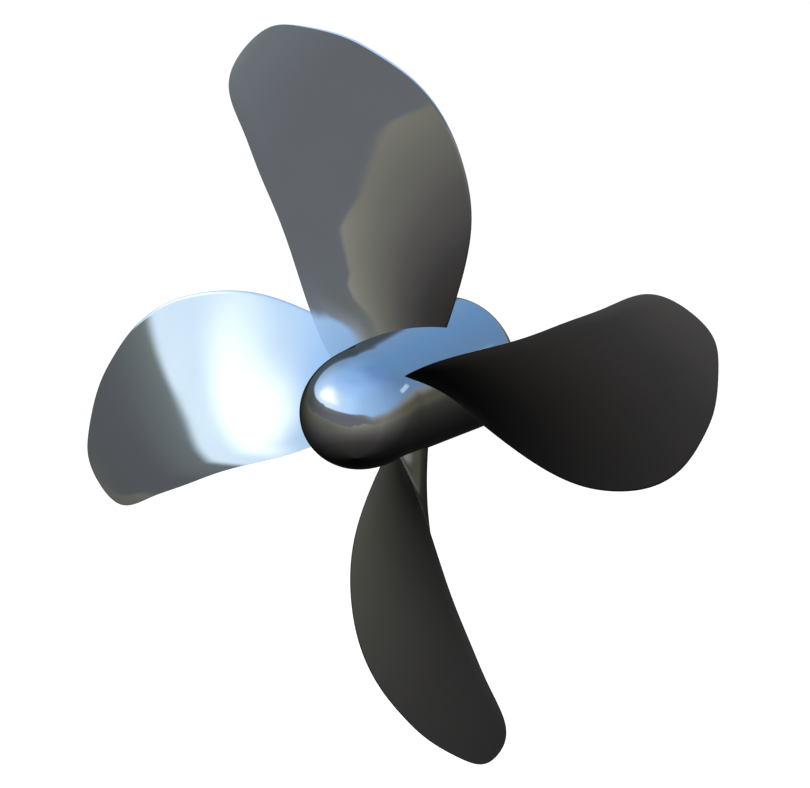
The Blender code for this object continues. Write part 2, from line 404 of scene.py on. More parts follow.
@dataclass(frozen=True)
class NitrileRubber(Finish):
    """Moulded black nitrile rubber, dull, with a fine grain and a little grey bloom."""

    name: ClassVar[str] = "moulded_nitrile_rubber"
    colour: str = "#1c1c1d"
    shade: str = "#313234"
    roughness: Span = (0.52, 0.74)
    bloom_noise: Span = (0.45, 0.80)         # the noise from bare rubber to full bloom
    patches_per_metre: float = 55.0
    grain: float = 0.0009
    grain_depth: float = 0.00006

    def draw(self) -> tuple[Socket, dict[str, Any]]:
        """Draw the grain and the bloom.

        Returns:
            The bloom, and what the shader's inputs take.
        """
        tree, (smooth, rough) = self.tree, self.roughness
        patches = add_node(tree, "TexNoise", {
            "Vector": self.place, "Scale": self.patches_per_metre, "Detail": 4.0})
        grain = add_node(tree, "TexNoise", {
            "Vector": self.place, "Scale": 1 / self.grain, "Detail": 2.0})
        start, end = self.bloom_noise
        bloom = add_node(tree, "MapRange", {
            "Value": patches, "From Min": start, "From Max": end})
        return bloom, {
            "Roughness": add_node(tree, "MapRange", {
                "Value": patches, "To Min": smooth, "To Max": rough}),
            "Normal": add_node(tree, "Bump", {"Height": grain, "Distance": self.grain_depth})}


@dataclass(frozen=True)
class PaleFloor(Finish):
    """A pale, dull studio floor, which shows from above alone."""

    name: ClassVar[str] = "pale_studio_floor"
    colour: str = "#f4f4f4"
    shade: str = "#efefef"

    def draw(self) -> tuple[Socket, dict[str, Any]]:
        """Draw the floor's faint patches, and leave it clear from below.

        Returns:
            The patches, and what the shader's inputs take.
        """
        tree = self.tree
        seen = add_node(tree, "MixShader", {
            0: add_node(tree, "NewGeometry", out="Backfacing"),
            1: tree.nodes["Principled BSDF"].outputs["BSDF"],
            2: add_node(tree, "BsdfTransparent")})
        set_sockets(tree, tree.nodes["Material Output"], {"Surface": seen})
        patches = add_node(tree, "TexNoise", {"Vector": self.place, "Scale": 0.4})
        return patches, {"Roughness": 0.9, "Specular IOR Level": 0.0}


def deselect() -> None:
    """Leave nothing selected."""
    bpy.ops.object.select_all(action="DESELECT")


def take(thing: Thing) -> None:
    """Make one object the only selected and the active one.

    Args:
        thing: the object.
    """
    deselect()
    thing.select_set(True)
    bpy.context.view_layer.objects.active = thing


@contextmanager
def editing(thing: Thing) -> Iterator[None]:
    """Work on one object in edit mode, all of it selected at first.

    Args:
        thing: the object.

    Returns:
        The time in edit mode.
    """
    take(thing)
    bpy.ops.object.mode_set(mode="EDIT")
    bpy.ops.mesh.select_mode(type="VERT")
    bpy.ops.mesh.select_all(action="SELECT")
    yield
    bpy.ops.object.mode_set(mode="OBJECT")


def pick_faces(thing: Thing, test: Callable[[Vector], bool]) -> None:
    """Select the faces that look a certain way, in edit mode.

    Args:
        thing: the object being edited.
        test: takes a face's normal, and says whether the face is wanted.
    """
    bpy.ops.mesh.select_all(action="DESELECT")
    bpy.ops.mesh.select_mode(type="FACE")
    mesh = bmesh.from_edit_mesh(thing.data)
    for face in mesh.faces:
        face.select_set(test(face.normal))
    bmesh.update_edit_mesh(thing.data)


def new_primitive(name: str, operator: Callable[..., Any], **sizes: Any) -> Thing:
    """Add a primitive at its size and place.

    Args:
        name: the object's name.
        operator: the operator that adds it.
        sizes: what the operator takes.

    Returns:
        The new object, with its place in its mesh.
    """
    deselect()
    operator(**sizes)
    thing = bpy.context.object
    thing.name = thing.data.name = name
    bpy.ops.object.transform_apply(location=True, rotation=True, scale=True)
    return thing


def tidy_shell() -> None:
    """Merge the doubles of the mesh being edited, and turn its faces outwards."""
    bpy.ops.mesh.select_all(action="SELECT")
    bpy.ops.mesh.remove_doubles(threshold=MERGE)
    bpy.ops.mesh.normals_make_consistent(inside=False)


def turned(name: str, section: Section, steps: int) -> Thing:
    """Turn a half section round the shaft axis, as on a lathe.

    Args:
        name: the object's name.
        section: the half section, closed, or open with both ends on the axis.
        steps: the number of steps round the axis.

    Returns:
        The closed, turned object.
    """
    thing = new_primitive(name, bpy.ops.mesh.primitive_plane_add, size=0.001)
    with editing(thing):
        bpy.ops.mesh.merge(type="CENTER")
        bpy.ops.transform.translate(value=(*section[0], 0))
        for (radius, y), (next_radius, next_y) in zip(section, section[1:]):
            step = (next_radius - radius, next_y - y, 0)
            bpy.ops.mesh.extrude_vertices_move(TRANSFORM_OT_translate={"value": step})
        bpy.ops.mesh.select_all(action="SELECT")
        bpy.ops.mesh.spin(steps=steps, angle=math.tau, center=(0, 0, 0), axis=(0, 1, 0))
        tidy_shell()
    return thing


def closed(section: Section) -> Section:
    """Bring a half section back to its first point."""
    return section + section[:1]


def chamfered(section: Section, width: float, sharp: Section | None = None) -> Section:
    """Break the corners of a closed half section.

    Args:
        section: the corners in order, without the first one again.
        width: the length taken off each side of a corner.
        sharp: corners that are left as they are.

    Returns:
        The section with two points for each corner.
    """
    out: Section = []
    for i, corner in enumerate(section):
        here = Vector(corner)
        back = (Vector(section[i - 1]) - here).normalized()
        on = (Vector(section[(i + 1) % len(section)]) - here).normalized()
        if corner in (sharp or []) or back.angle(-on) < math.radians(CORNER_ANGLE):
            out.append(corner)
        else:
            out += [tuple(here + back * width), tuple(here + on * width)]
    return out


def apply_modifier(thing: Thing, kind: str, **settings: Any) -> None:
    """Add one modifier and apply it.

    Args:
        thing: the object that it shapes.
        kind: the modifier's type.
        settings: its settings.
    """
    take(thing)
    modifier = thing.modifiers.new(kind.lower(), kind)
    for name, value in settings.items():
        setattr(modifier, name, value)
    bpy.ops.object.modifier_apply(modifier=modifier.name)


def break_edges(thing: Thing, width: float) -> None:
    """Take the sharpness off a machined piece's edges."""
    apply_modifier(thing, "BEVEL", width=width, segments=2, limit_method="ANGLE",
                   angle_limit=math.radians(EDGE_ANGLE), harden_normals=False)


def cut_away(thing: Thing, tool: Thing, operation: str = "DIFFERENCE") -> None:
    """Cut a piece with a tool, and take the tool out of the scene.

    Args:
        thing: the piece.
        tool: the tool, which is used up.
        operation: DIFFERENCE to cut its shape out, or INTERSECT to leave only that.
    """
    apply_modifier(thing, "BOOLEAN", operation=operation, solver="EXACT", object=tool)
    bpy.data.objects.remove(tool, do_unlink=True)


def copies_at(model: Thing, names: list[str], places: list[Matrix]) -> list[Thing]:
    """Copy a model to its places, each copy with its own mesh.

    Args:
        model: the piece, which is used up.
        names: the copies' names.
        places: how each copy is turned and moved.

    Returns:
        The copies.
    """
    made = []
    for name, place in zip(names, places):
        copy = bpy.data.objects.new(name, model.data.copy())
        copy.data.name = name
        copy.data.transform(place)
        bpy.context.scene.collection.objects.link(copy)
        made.append(copy)
    bpy.data.objects.remove(model, do_unlink=True)
    return made


def joined_copies(model: Thing, places: list[Matrix]) -> Thing:
    """Copy a cutting tool to its places and join the copies.

    Args:
        model: the tool for one place, which is used up.
        places: where it cuts.

    Returns:
        The tool for all the places.
    """
    things = copies_at(model, ["%s_%d" % (model.name, k) for k in range(len(places))], places)
    take(things[0])
    for thing in things:
        thing.select_set(True)
    bpy.ops.object.join()
    return things[0]


def round_shaft(turn: float) -> Matrix:
    """Turn round the shaft axis, from straight up towards +X."""
    return Matrix.Rotation(math.radians(turn), 4, "Y")


def turns_round(count: int, first: float) -> list[Matrix]:
    """Share a number of places evenly round the shaft, from the first one's turn."""
    return [round_shaft(first + 360 * k / count) for k in range(count)]


def hand_over(piece: Thing, node: str, slot: Slot, *materials: Material) -> None:
    """Dress a finished piece and put it on the frame in place of its solid.

    Args:
        piece: the finished piece.
        node: the solid that it stands for.
        slot: the record's material slot; not used.
        materials: the materials of its faces.
    """
    for material in materials:
        piece.data.materials.append(material)
    take(piece)
    bpy.ops.object.shade_smooth_by_angle(angle=math.radians(SMOOTH_ANGLE))
    # The photo's reflections hold the surroundings alone, and no other piece.
    piece.visible_glossy = False
    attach(piece, "root")
    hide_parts(node)
    LOG.info("%s: %d faces, for %s", piece.name, len(piece.data.polygons), node)


def hand_over_copies(model: Thing, node: str, ending: str, places: list[Matrix], slot: Slot,
                     material: Material) -> None:
    """Copy a finished model to its places and hand each copy over.

    Args:
        model: the piece, which is used up.
        node: the name of the solids, before each one's number.
        ending: what a piece's name adds to its solid's.
        places: how each copy is turned and moved.
        slot: the record's material slot.
        material: their material.
    """
    nodes = ["%s_%d" % (node, k + 1) for k in range(len(places))]
    for piece, name in zip(copies_at(model, [n + ending for n in nodes], places), nodes):
        hand_over(piece, name, slot, material)


def soft(share: np.ndarray) -> np.ndarray:
    """Keep a share within 0 and 1, with a soft start and end."""
    share = np.clip(share, 0, 1)
    return share * share * (3 - 2 * share)


@dataclass
class Hub:
    """The cast boss and the nose cap that is screwed into it."""

    mirror: Material               # the outside's finish
    machined: Material             # the finish of the bore, the recesses and the hollow
    forward_radius: float = 0.1845
    edge_round: float = 0.044
    nose_radius: float = 0.1565
    nose_start: float = -0.465
    nose_length: float = 0.218
    nose_fullness: float = 2.35
    blend: float = 0.030           # half the length over which taper and nose flow together
    seam: float = -0.520
    fit_gap: float = 0.0003
    seam_gap: float = 0.00004      # the polished joint is a hairline
    bore_radius: float = 0.075
    bore_taper: float = 1 / 24
    spigot_radius: float = 0.135
    spigot_floor: float = -0.498
    seal_radius: float = 0.100
    seal_floor: float = -0.036
    gland_radius: float = 0.125
    gland_floor: float = -0.016
    hollow_radius: float = 0.120
    hollow_depth: float = 0.160
    key_width: float = 0.036
    key_depth: float = 0.0085
    key_turn: float = 33.7
    key_over: float = 0.01         # the cutter runs past both ends of the bore
    broken: float = 0.0008         # the width of a broken corner,
    spigot_broken: float = 0.001   # and of the spigot's
    inside_margin: float = 0.0005  # the recess's broken corner is machined too
    skin: float = 0.002            # the cap is machined deeper than this
    taper_rows: tuple[float, ...] = (-0.12, -0.20, -0.28, -0.36)
    blend_rows: Span = (-0.42, 0.004)        # the first row of the flow, and their spacing
    steps: int = 224
    round_steps: int = 20
    hollow_steps: int = 24
    nose_steps: int = 48

    @property
    def slope(self) -> float:
        """Give the slope of the boss's straight taper."""
        return (self.forward_radius - self.nose_radius) / (-self.edge_round - self.nose_start)

    @property
    def nut_face(self) -> float:
        """Give the place of the nut's and the spigot's forward ends."""
        return self.spigot_floor - self.fit_gap

    def taper(self, y: np.ndarray | float) -> np.ndarray | float:
        """Give the radius of the boss's straight taper."""
        return self.nose_radius + self.slope * (y - self.nose_start)

    def nose(self, y: np.ndarray) -> np.ndarray:
        """Give the radius of the rounded nose."""
        down = np.clip((self.nose_start - y) / self.nose_length, 0, 1)
        return self.nose_radius * (1 - down ** self.nose_fullness) ** (1 / self.nose_fullness)

    def radius(self, y: np.ndarray) -> np.ndarray:
        """Give the outer radius, with the taper flowing smoothly into the nose."""
        share = soft((self.nose_start - y) / (2 * self.blend) + 0.5)
        return self.taper(y) * (1 - share) + self.nose(y) * share

    def outer(self, y: float) -> tuple[float, float]:
        """Give the point of the outer section at one place along the shaft."""
        return float(self.radius(np.array(y))), float(y)

    def bore_at(self, y: float) -> float:
        """Give the radius of the tapered bore."""
        return self.bore_radius + (y - self.seal_floor) * self.bore_taper

    def outer_side(self) -> Section:
        """Draw the boss's outer side.

        Returns:
            Its section, from the forward face to the seam.
        """
        lean = math.atan(self.slope)
        end = -self.edge_round * (1 + math.sin(lean))
        centre = self.taper(end) - self.edge_round * math.cos(lean)
        arc = [(math.pi / 2 + lean) * i / self.round_steps for i in range(self.round_steps + 1)]
        first, spacing = self.blend_rows
        rows = (*self.taper_rows, *np.arange(first, self.seam + spacing / 2, -spacing), self.seam)
        return [(centre + self.edge_round * math.sin(a), self.edge_round * (math.cos(a) - 1))
                for a in arc] + [self.outer(y) for y in rows]

    def make_boss(self) -> None:
        """Turn the boss and cut its keyway."""
        outer = self.outer_side()
        inner = [
            (self.spigot_radius, self.seam),
            (self.spigot_radius, self.spigot_floor),
            (self.bore_at(self.spigot_floor), self.spigot_floor),
            (self.bore_radius, self.seal_floor),
            (self.seal_radius, self.seal_floor),
            (self.seal_radius, self.gland_floor),
            (self.gland_radius, self.gland_floor),
            (self.gland_radius, 0.0),
        ]
        section = chamfered(outer + inner, self.broken, outer[-1:])
        boss = turned("boss_casting", closed(section), self.steps)
        cut_away(boss, self.key_tool())
        hand_over(boss, "boss", Slot.CAST, self.mirror, self.machined)
        inside = self.spigot_radius + self.inside_margin
        self.give_machined(boss, lambda radius, y: radius < inside and y < -self.seam_gap)

    def give_machined(self, piece: Thing, inside: Callable[[float, float], bool]) -> None:
        """Give the machined finish to a piece's inner faces.

        Args:
            piece: the piece, with both finishes.
            inside: takes the radius and y of a face's middle, and says whether it is inside.
        """
        for face in piece.data.polygons:
            x, y, z = face.center
            face.material_index = int(inside(math.hypot(x, z), y))

    def key_tool(self) -> Thing:
        """Make the bar that cuts the keyway, sheared to follow the bore's taper.

        Returns:
            The cutting tool.
        """
        start, end = self.seal_floor + self.key_over, self.spigot_floor - self.key_over
        middle = (start + end) / 2
        top = self.bore_at(middle) + self.key_depth
        tool = new_primitive("key_tool", bpy.ops.mesh.primitive_cube_add, size=1,
                             location=(0, middle, top - self.bore_radius / 2),
                             scale=(self.key_width, start - end, self.bore_radius))
        rise = self.bore_taper * (start - end) / 2
        with editing(tool):
            for way in (1, -1):
                pick_faces(tool, lambda normal: normal.y * way > FACING)
                bpy.ops.transform.translate(value=(0, 0, rise * way))
        tool.data.transform(round_shaft(self.key_turn))
        return tool

    def make_nose_cap(self) -> None:
        """Turn the hollow nose cap with its spigot."""
        top, spigot = self.nut_face, self.spigot_radius - self.fit_gap
        arc = [math.pi / 2 * i / self.hollow_steps for i in range(self.hollow_steps + 1)]
        section = [(self.hollow_radius * math.sin(a), top - self.hollow_depth * math.cos(a))
                   for a in arc]
        section += [(spigot - self.spigot_broken, top), (spigot, top - self.spigot_broken),
                    (spigot, self.seam - self.seam_gap)]
        cap = turned("nose_cap_casting", section + self.nose_side(), self.steps)
        hand_over(cap, "nose_cap", Slot.CAST, self.mirror, self.machined)
        self.give_machined(cap, lambda radius, y: radius < self.outer(y)[0] - self.skin)

    def nose_side(self) -> Section:
        """Draw the cap's outer side.

        Returns:
            Its section, from the seam to the tip on the axis.
        """
        start = self.seam - self.seam_gap
        power = 2 / self.nose_fullness
        first = math.acos(((self.nose_start - start) / self.nose_length) ** (1 / power))
        angles = [first * (1 - i / self.nose_steps) for i in range(1, self.nose_steps)]
        rows = [self.nose_start - self.nose_length * math.cos(a) ** power for a in angles]
        tip = (0.0, self.nose_start - self.nose_length)
        return [self.outer(y) for y in (start, *rows)] + [tip]


@dataclass
class Blades:
    """The four blades, each with a flat driving face and a rounded back."""

    hub: Hub
    mirror: Material
    tip_radius: float = 1.0
    count: int = 4
    first_turn: float = -11.3
    pitch_ratio: float = 0.804
    pitch_station: float = 0.62
    pitch_relief: float = 0.20
    rake: float = -0.423
    rake_station: float = 0.68
    rake_curl: float = 0.19
    axis_thickness: float = 0.084
    tip_thickness: float = 0.008
    edge_thickness: float = 0.004
    rim_half: Span = (0.0002, 0.0022)        # half the thickness of the ground rims,
    rim_reach: Span = (0.0004, 0.0090)       # and the width of their round
    rim_fade: float = 0.45         # the leading edge's wider round fades towards the tip
    rim_strip: float = 0.0007      # a strip beside each rim keeps its shading off the face
    wash_width: float = 0.036      # the face falls away to the trailing edge over this width
    wash_depth: float = 0.0016     # and by this depth,
    wash_fade: Span = (0.15, 0.50)           # which fades towards the tip
    ground_width: float = 0.040    # the back is thinned towards the rims over this width
    root_station: float = 0.13
    sink: float = 0.0015           # the root goes this far into the boss
    face_steps: int = 72
    crowding: float = 0.7          # how closely the face's steps stand near the edges
    rim_steps: int = 8
    rows: int = 120
    root_tries: int = 40           # how often the search for the root halves
    outline: tuple[tuple[float, float, float], ...] = (    # station, trailing, leading angle
        (0.130, -31.0, 38.0),
        (0.300, -23.45, 36.2),
        (0.500, -18.15, 32.55),
        (0.650, -17.35, 26.65),
        (0.760, -16.95, 20.90),
        (0.840, -17.00, 14.95),
        (0.900, -16.30, 8.85),
        (0.940, -14.48, 4.40),
        (0.975, -11.45, -1.05),
        (1.000, -6.80, -6.80),
    )

    def __post_init__(self) -> None:
        """Work out the edge's curve and the points round one section."""
        trailing = [(-math.sqrt(1 - s), back) for s, back, _ in self.outline]
        leading = [(math.sqrt(1 - s), front) for s, _, front in self.outline[-2::-1]]
        self.knots, self.angles = np.array(trailing + leading).T
        self.bends = self.spline_bends()
        even = np.linspace(0, 1, self.face_steps + 1)
        chord = even - self.crowding * np.sin(math.tau * even) / math.tau
        chord = np.insert(chord, [1, -1], [self.rim_strip, 1 - self.rim_strip])
        arc = np.linspace(-math.pi / 2, math.pi / 2, self.rim_steps + 1)[1:]
        rim, flat, none = np.ones(len(arc)), np.zeros(len(chord)), np.zeros(len(chord) - 2)
        # Round the section: along the face, over the leading edge, along the back and
        # over the trailing edge.
        self.chord = np.concatenate([chord, rim, chord[-2:0:-1], rim * 0])
        self.arc = np.concatenate([flat, arc, none, arc[::-1]])
        self.on_face = np.concatenate([flat + 1, rim * 0, none, rim * 0]) > 0.5
        self.on_rim = np.concatenate([flat, rim, none, rim]) > 0.5
        self.on_back = ~(self.on_face | self.on_rim)

    def spline_bends(self) -> np.ndarray:
        """Solve the natural cubic spline through the outline's angles.

        Returns:
            The spline's bend at each knot.
        """
        gaps = np.diff(self.knots)
        slopes = np.diff(self.angles) / gaps
        count = len(self.knots)
        system, right = np.eye(count), np.zeros(count)
        for i in range(1, count - 1):
            system[i, i - 1:i + 2] = gaps[i - 1], 2 * (gaps[i - 1] + gaps[i]), gaps[i]
            right[i] = slopes[i] - slopes[i - 1]
        return np.linalg.solve(system, right)

    def edge_angle(self, at: np.ndarray) -> np.ndarray:
        """Follow the blade's outline.

        Args:
            at: the square root of the distance in from the tip, negative on the
                trailing edge.

        Returns:
            The edge's angle from the reference line.
        """
        i = np.clip(np.searchsorted(self.knots, at) - 1, 0, len(self.knots) - 2)
        low, high = self.knots[i], self.knots[i + 1]
        before, after, gap = at - low, high - at, high - low
        straight = (self.angles[i] * after + self.angles[i + 1] * before) / gap
        return (straight + self.bends[i] * (after ** 3 / gap - gap * after)
                + self.bends[i + 1] * (before ** 3 / gap - gap * before))

    def face_point(self, station: np.ndarray, lead: np.ndarray) -> np.ndarray:
        """Give points of the driving face, which lies on the pitch surface.

        Args:
            station: the radius as a part of the tip radius.
            lead: the angle from the reference line.

        Returns:
            The points, for a blade that stands straight up.
        """
        pitch = 2 * self.tip_radius * (
            self.pitch_ratio - self.pitch_relief * (station - self.pitch_station) ** 2)
        rake = self.tip_radius * (self.rake + self.rake_curl * (station - self.rake_station) ** 2)
        radius, turn = station * self.tip_radius, np.radians(lead)
        return np.stack([radius * np.sin(turn), rake + pitch * lead / 360,
                         radius * np.cos(turn)], axis=-1)

    def face_frame(self, station: np.ndarray,
                   lead: np.ndarray) -> tuple[np.ndarray, np.ndarray, np.ndarray]:
        """Give the directions of the driving face.

        Args:
            station: the radius as a part of the tip radius.
            lead: the angle from the reference line.

        Returns:
            Its slopes along the radius and the angle, and its normal to the back.
        """
        d, at = 0.0001, self.face_point
        along = (at(station + d, lead) - at(station - d, lead)) / (2 * d)
        across = (at(station, lead + d) - at(station, lead - d)) / (2 * d)
        normal = np.cross(across, along)
        normal *= np.sign(normal[..., 1:2]) / np.linalg.norm(normal, axis=-1, keepdims=True)
        return along, across, normal

    def rim_sizes(self, inward: np.ndarray, side: int) -> tuple[np.ndarray, np.ndarray]:
        """Give half the thickness and the width of a ground rim.

        Args:
            inward: the square root of the distance in from the tip, in tip radii.
            side: -1 for the trailing edge and 1 for the leading edge.

        Returns:
            Both, which are the trailing edge's at the tip.
        """
        share = soft(inward / self.rim_fade) * (side > 0)
        return tuple(low + (high - low) * share for low, high in (self.rim_half, self.rim_reach))

    def edge(self, inward: np.ndarray,
             side: int) -> tuple[np.ndarray, np.ndarray, np.ndarray]:
        """Follow one edge of the face, drawn in by the width of its ground rim.

        Args:
            inward: the square root of the distance in from the tip, in tip radii.
            side: -1 for the trailing edge and 1 for the leading edge.

        Returns:
            The station and the angle of the face's edge, and the way out of it.
        """
        at, d = side * inward, 0.00001
        station, lead = 1 - inward ** 2, self.edge_angle(at)
        slope = (self.edge_angle(at + d) - self.edge_angle(at - d)) / (2 * d)
        along, across, normal = self.face_frame(station, lead)
        run = along * (-2 * at)[..., None] + across * slope[..., None]
        out = np.cross(run, normal)
        out /= np.linalg.norm(out, axis=-1, keepdims=True)
        aa, ac, cc = ((p * q).sum(-1) for p, q in (
            (along, along), (along, across), (across, across)))
        reach = self.rim_sizes(inward, side)[1]
        a, c = -reach * (out * along).sum(-1), -reach * (out * across).sum(-1)
        whole = aa * cc - ac * ac
        return station + (a * cc - c * ac) / whole, lead + (c * aa - a * ac) / whole, out

    def section_points(self, inward: np.ndarray) -> np.ndarray:
        """Give the points round the blade's sections.

        Args:
            inward: how far in each column's point lies, in rows of columns.

        Returns:
            The points, for a blade that stands straight up.
        """
        back_station, back_lead, back_out = self.edge(inward, -1)
        front_station, front_lead, front_out = self.edge(inward, 1)
        chord = self.chord
        station = back_station * (1 - chord) + front_station * chord
        lead = back_lead * (1 - chord) + front_lead * chord
        at = self.face_point(station, lead)
        normal = self.face_frame(station, lead)[2]
        width = np.linalg.norm(self.face_point(back_station, back_lead)
                               - self.face_point(front_station, front_lead), axis=-1)
        middle = self.tip_thickness + (self.axis_thickness - self.tip_thickness) * (1 - station)
        law = self.edge_thickness + (middle - self.edge_thickness) * 4 * chord * (1 - chord)
        from_edge = np.minimum(chord, 1 - chord) * width
        (back_half, back_reach), (half, reach) = (self.rim_sizes(inward, s) for s in (-1, 1))
        half = back_half * (1 - chord) + half * chord
        reach = np.where(chord < 0.5, back_reach, reach)
        thick = 2 * half + (law - 2 * half) * (1 - np.exp(-from_edge / self.ground_width))
        height = np.where(self.on_back, thick, half * (1 + np.sin(self.arc)))
        height = np.where(self.on_face, 0.0, height)
        over = np.where(self.on_rim, reach * np.cos(self.arc), 0.0)
        start, end = self.wash_fade
        height += (self.wash_depth * soft((inward - start) / (end - start))
                   * np.clip(1 - chord * width / self.wash_width, 0, 1) ** 2)
        out = np.where(chord[..., None] < 0.5, back_out, front_out)
        return at + normal * height[..., None] + out * over[..., None]

    def root_reach(self) -> np.ndarray:
        """Find where each column meets the boss, a little under its surface.

        Returns:
            How far in from the tip that is, as a square root.
        """
        columns = len(self.chord)
        low, high = np.full(columns, 0.5), np.full(columns, math.sqrt(1 - self.root_station))
        for _ in range(self.root_tries):
            middle = (low + high) / 2
            point = self.section_points(middle)
            outside = np.hypot(point[:, 0], point[:, 2]) > self.hub.radius(point[:, 1]) - self.sink
            low, high = np.where(outside, middle, low), np.where(outside, high, middle)
        return high

    def make(self) -> None:
        """Make one blade and copy it round the boss.

        A grid is laid over the blade, row by row from the root to the tip. Its points
        are placed by the pitch surface's own law, because no operator bends a grid to
        it. It is then closed and capped.
        """
        grid = new_primitive("blade_model", bpy.ops.mesh.primitive_grid_add, size=1,
                             x_subdivisions=len(self.chord), y_subdivisions=self.rows)
        inward = np.linspace(1, 0, self.rows + 1)[:, None] * self.root_reach()[None, :]
        points = self.section_points(inward)
        points = np.concatenate([points, points[:, :1]], axis=1).reshape(-1, 3)
        grid.data.vertices.foreach_set("co", points.astype(np.float32).ravel())
        chord = np.append(self.chord, self.chord[0])[None, :]
        radius = np.hypot(points[:, 0], points[:, 2])
        across = (radius.reshape(self.rows + 1, -1) * (chord - 0.5)).ravel()
        where = np.stack([across, radius, np.zeros(len(radius))], axis=1)
        place = grid.data.attributes.new("blade_place", "FLOAT_VECTOR", "POINT")
        place.data.foreach_set("vector", where.astype(np.float32).ravel())
        with editing(grid):
            bpy.ops.mesh.remove_doubles(threshold=MERGE)
            bpy.ops.mesh.select_all(action="DESELECT")
            bpy.ops.mesh.select_mode(type="EDGE")
            bpy.ops.mesh.select_non_manifold()
            bpy.ops.mesh.edge_face_add()
            tidy_shell()
        hand_over_copies(grid, "blade", "_casting", turns_round(self.count, self.first_turn),
                         Slot.CAST, self.mirror)


@dataclass
class SocketScrew:
    """A socket head cap screw, as M10."""

    steel: Material
    radius: float = 0.005
    length: float = 0.022
    head_radius: float = 0.008
    head_height: float = 0.010
    socket_radius: float = 0.0046
    socket_depth: float = 0.005
    broken: float = 0.0006         # the width of its rounded edges
    sides: int = 48

    def model(self, way: Way) -> Thing:
        """Make the screw on the shaft axis, with its head's face at the origin.

        Args:
            way: which way its head looks.

        Returns:
            The screw, to be copied.
        """
        screw = new_primitive("screw_model", bpy.ops.mesh.primitive_cylinder_add,
                              vertices=self.sides, radius=self.head_radius,
                              depth=self.head_height, location=(0, 0, -self.head_height / 2))
        with editing(screw):
            pick_faces(screw, lambda normal: normal.z < -FACING)
            bpy.ops.mesh.inset(thickness=self.head_radius - self.radius)
            bpy.ops.mesh.extrude_region_move(
                TRANSFORM_OT_translate={"value": (0, 0, -self.length)})
        break_edges(screw, self.broken)
        socket = new_primitive("socket_tool", bpy.ops.mesh.primitive_cylinder_add, vertices=6,
                               radius=self.socket_radius, depth=2 * self.socket_depth)
        cut_away(screw, socket)
        screw.data.transform(Matrix.Rotation(math.radians(-90 * way.value), 4, "X"))
        return screw


@dataclass
class ForwardSeal:
    """The rubber seal ring in the boss, the gland ring over it and its screws."""

    hub: Hub
    rubber: Material
    screw: SocketScrew
    first_turn: float = -11.3
    screws: int = 8
    circle: float = 0.108
    gland_inner: float = 0.091
    seal_inner: float = 0.0905
    lips: int = 3
    lip_depth: float = 0.0022
    lip_shape: tuple[tuple[float, int], ...] = ((0.08, 1), (0.40, 0), (0.55, 0), (0.92, 1))
    clearance: float = 0.0005      # round a screw in its hole
    pocket_broken: float = 0.0006
    gland_broken: float = 0.0007
    past: float = 0.01             # the cutter starts this far outside
    drill_depth: float = 0.03
    pocket_steps: int = 48
    steps: int = 160

    def make(self) -> None:
        """Make the seal ring, the gland ring and its screws."""
        self.make_seal()
        hub = self.hub
        outer = hub.gland_radius - hub.fit_gap
        low = hub.gland_floor + hub.fit_gap
        corners = [(self.gland_inner, 0.0), (outer, 0.0), (outer, low), (self.gland_inner, low)]
        section = chamfered(corners, self.gland_broken)
        ring = turned("gland_ring_turning", closed(section), self.steps)
        out = Matrix.Translation((0, 0, self.circle))
        places = [turn @ out for turn in turns_round(self.screws, self.first_turn)]
        cut_away(ring, joined_copies(self.pocket(), places))
        hand_over(ring, "gland_ring", Slot.MACHINED, hub.machined)
        down = Matrix.Translation((0, -hub.fit_gap, 0))
        hand_over_copies(self.screw.model(Way.FORWARD), "gland_screw", "_fastener",
                         [place @ down for place in places], Slot.MACHINED, self.screw.steel)

    def make_seal(self) -> None:
        """Mould the seal ring, with its lips towards the shaft."""
        hub = self.hub
        outer = hub.seal_radius - hub.fit_gap
        top, low = hub.gland_floor - hub.fit_gap, hub.seal_floor + hub.fit_gap
        pitch = (top - low) / self.lips
        corners = [(outer, top), (outer, low)]
        for k in range(self.lips):
            start = low + (top - low) * k / self.lips
            corners += [(self.seal_inner + self.lip_depth * back, start + pitch * part)
                        for part, back in self.lip_shape]
        ring = turned("seal_ring_moulding", closed(corners), self.steps)
        hand_over(ring, "seal_ring", Slot.RUBBER, self.rubber)

    def pocket(self) -> Thing:
        """Make the cutter for one stepped screw hole, on the shaft axis.

        Returns:
            The cutter.
        """
        head = self.screw.head_radius + self.clearance
        shank = self.screw.radius + self.clearance
        floor = -self.screw.head_height - 2 * self.hub.fit_gap
        mouth, past, end = head + self.pocket_broken, self.past, -self.drill_depth
        return turned("pocket", [
            (0.0, past), (mouth, past), (mouth, 0.0), (head, -self.pocket_broken),
            (head, floor), (shank, floor), (shank, end), (0.0, end)], self.pocket_steps)


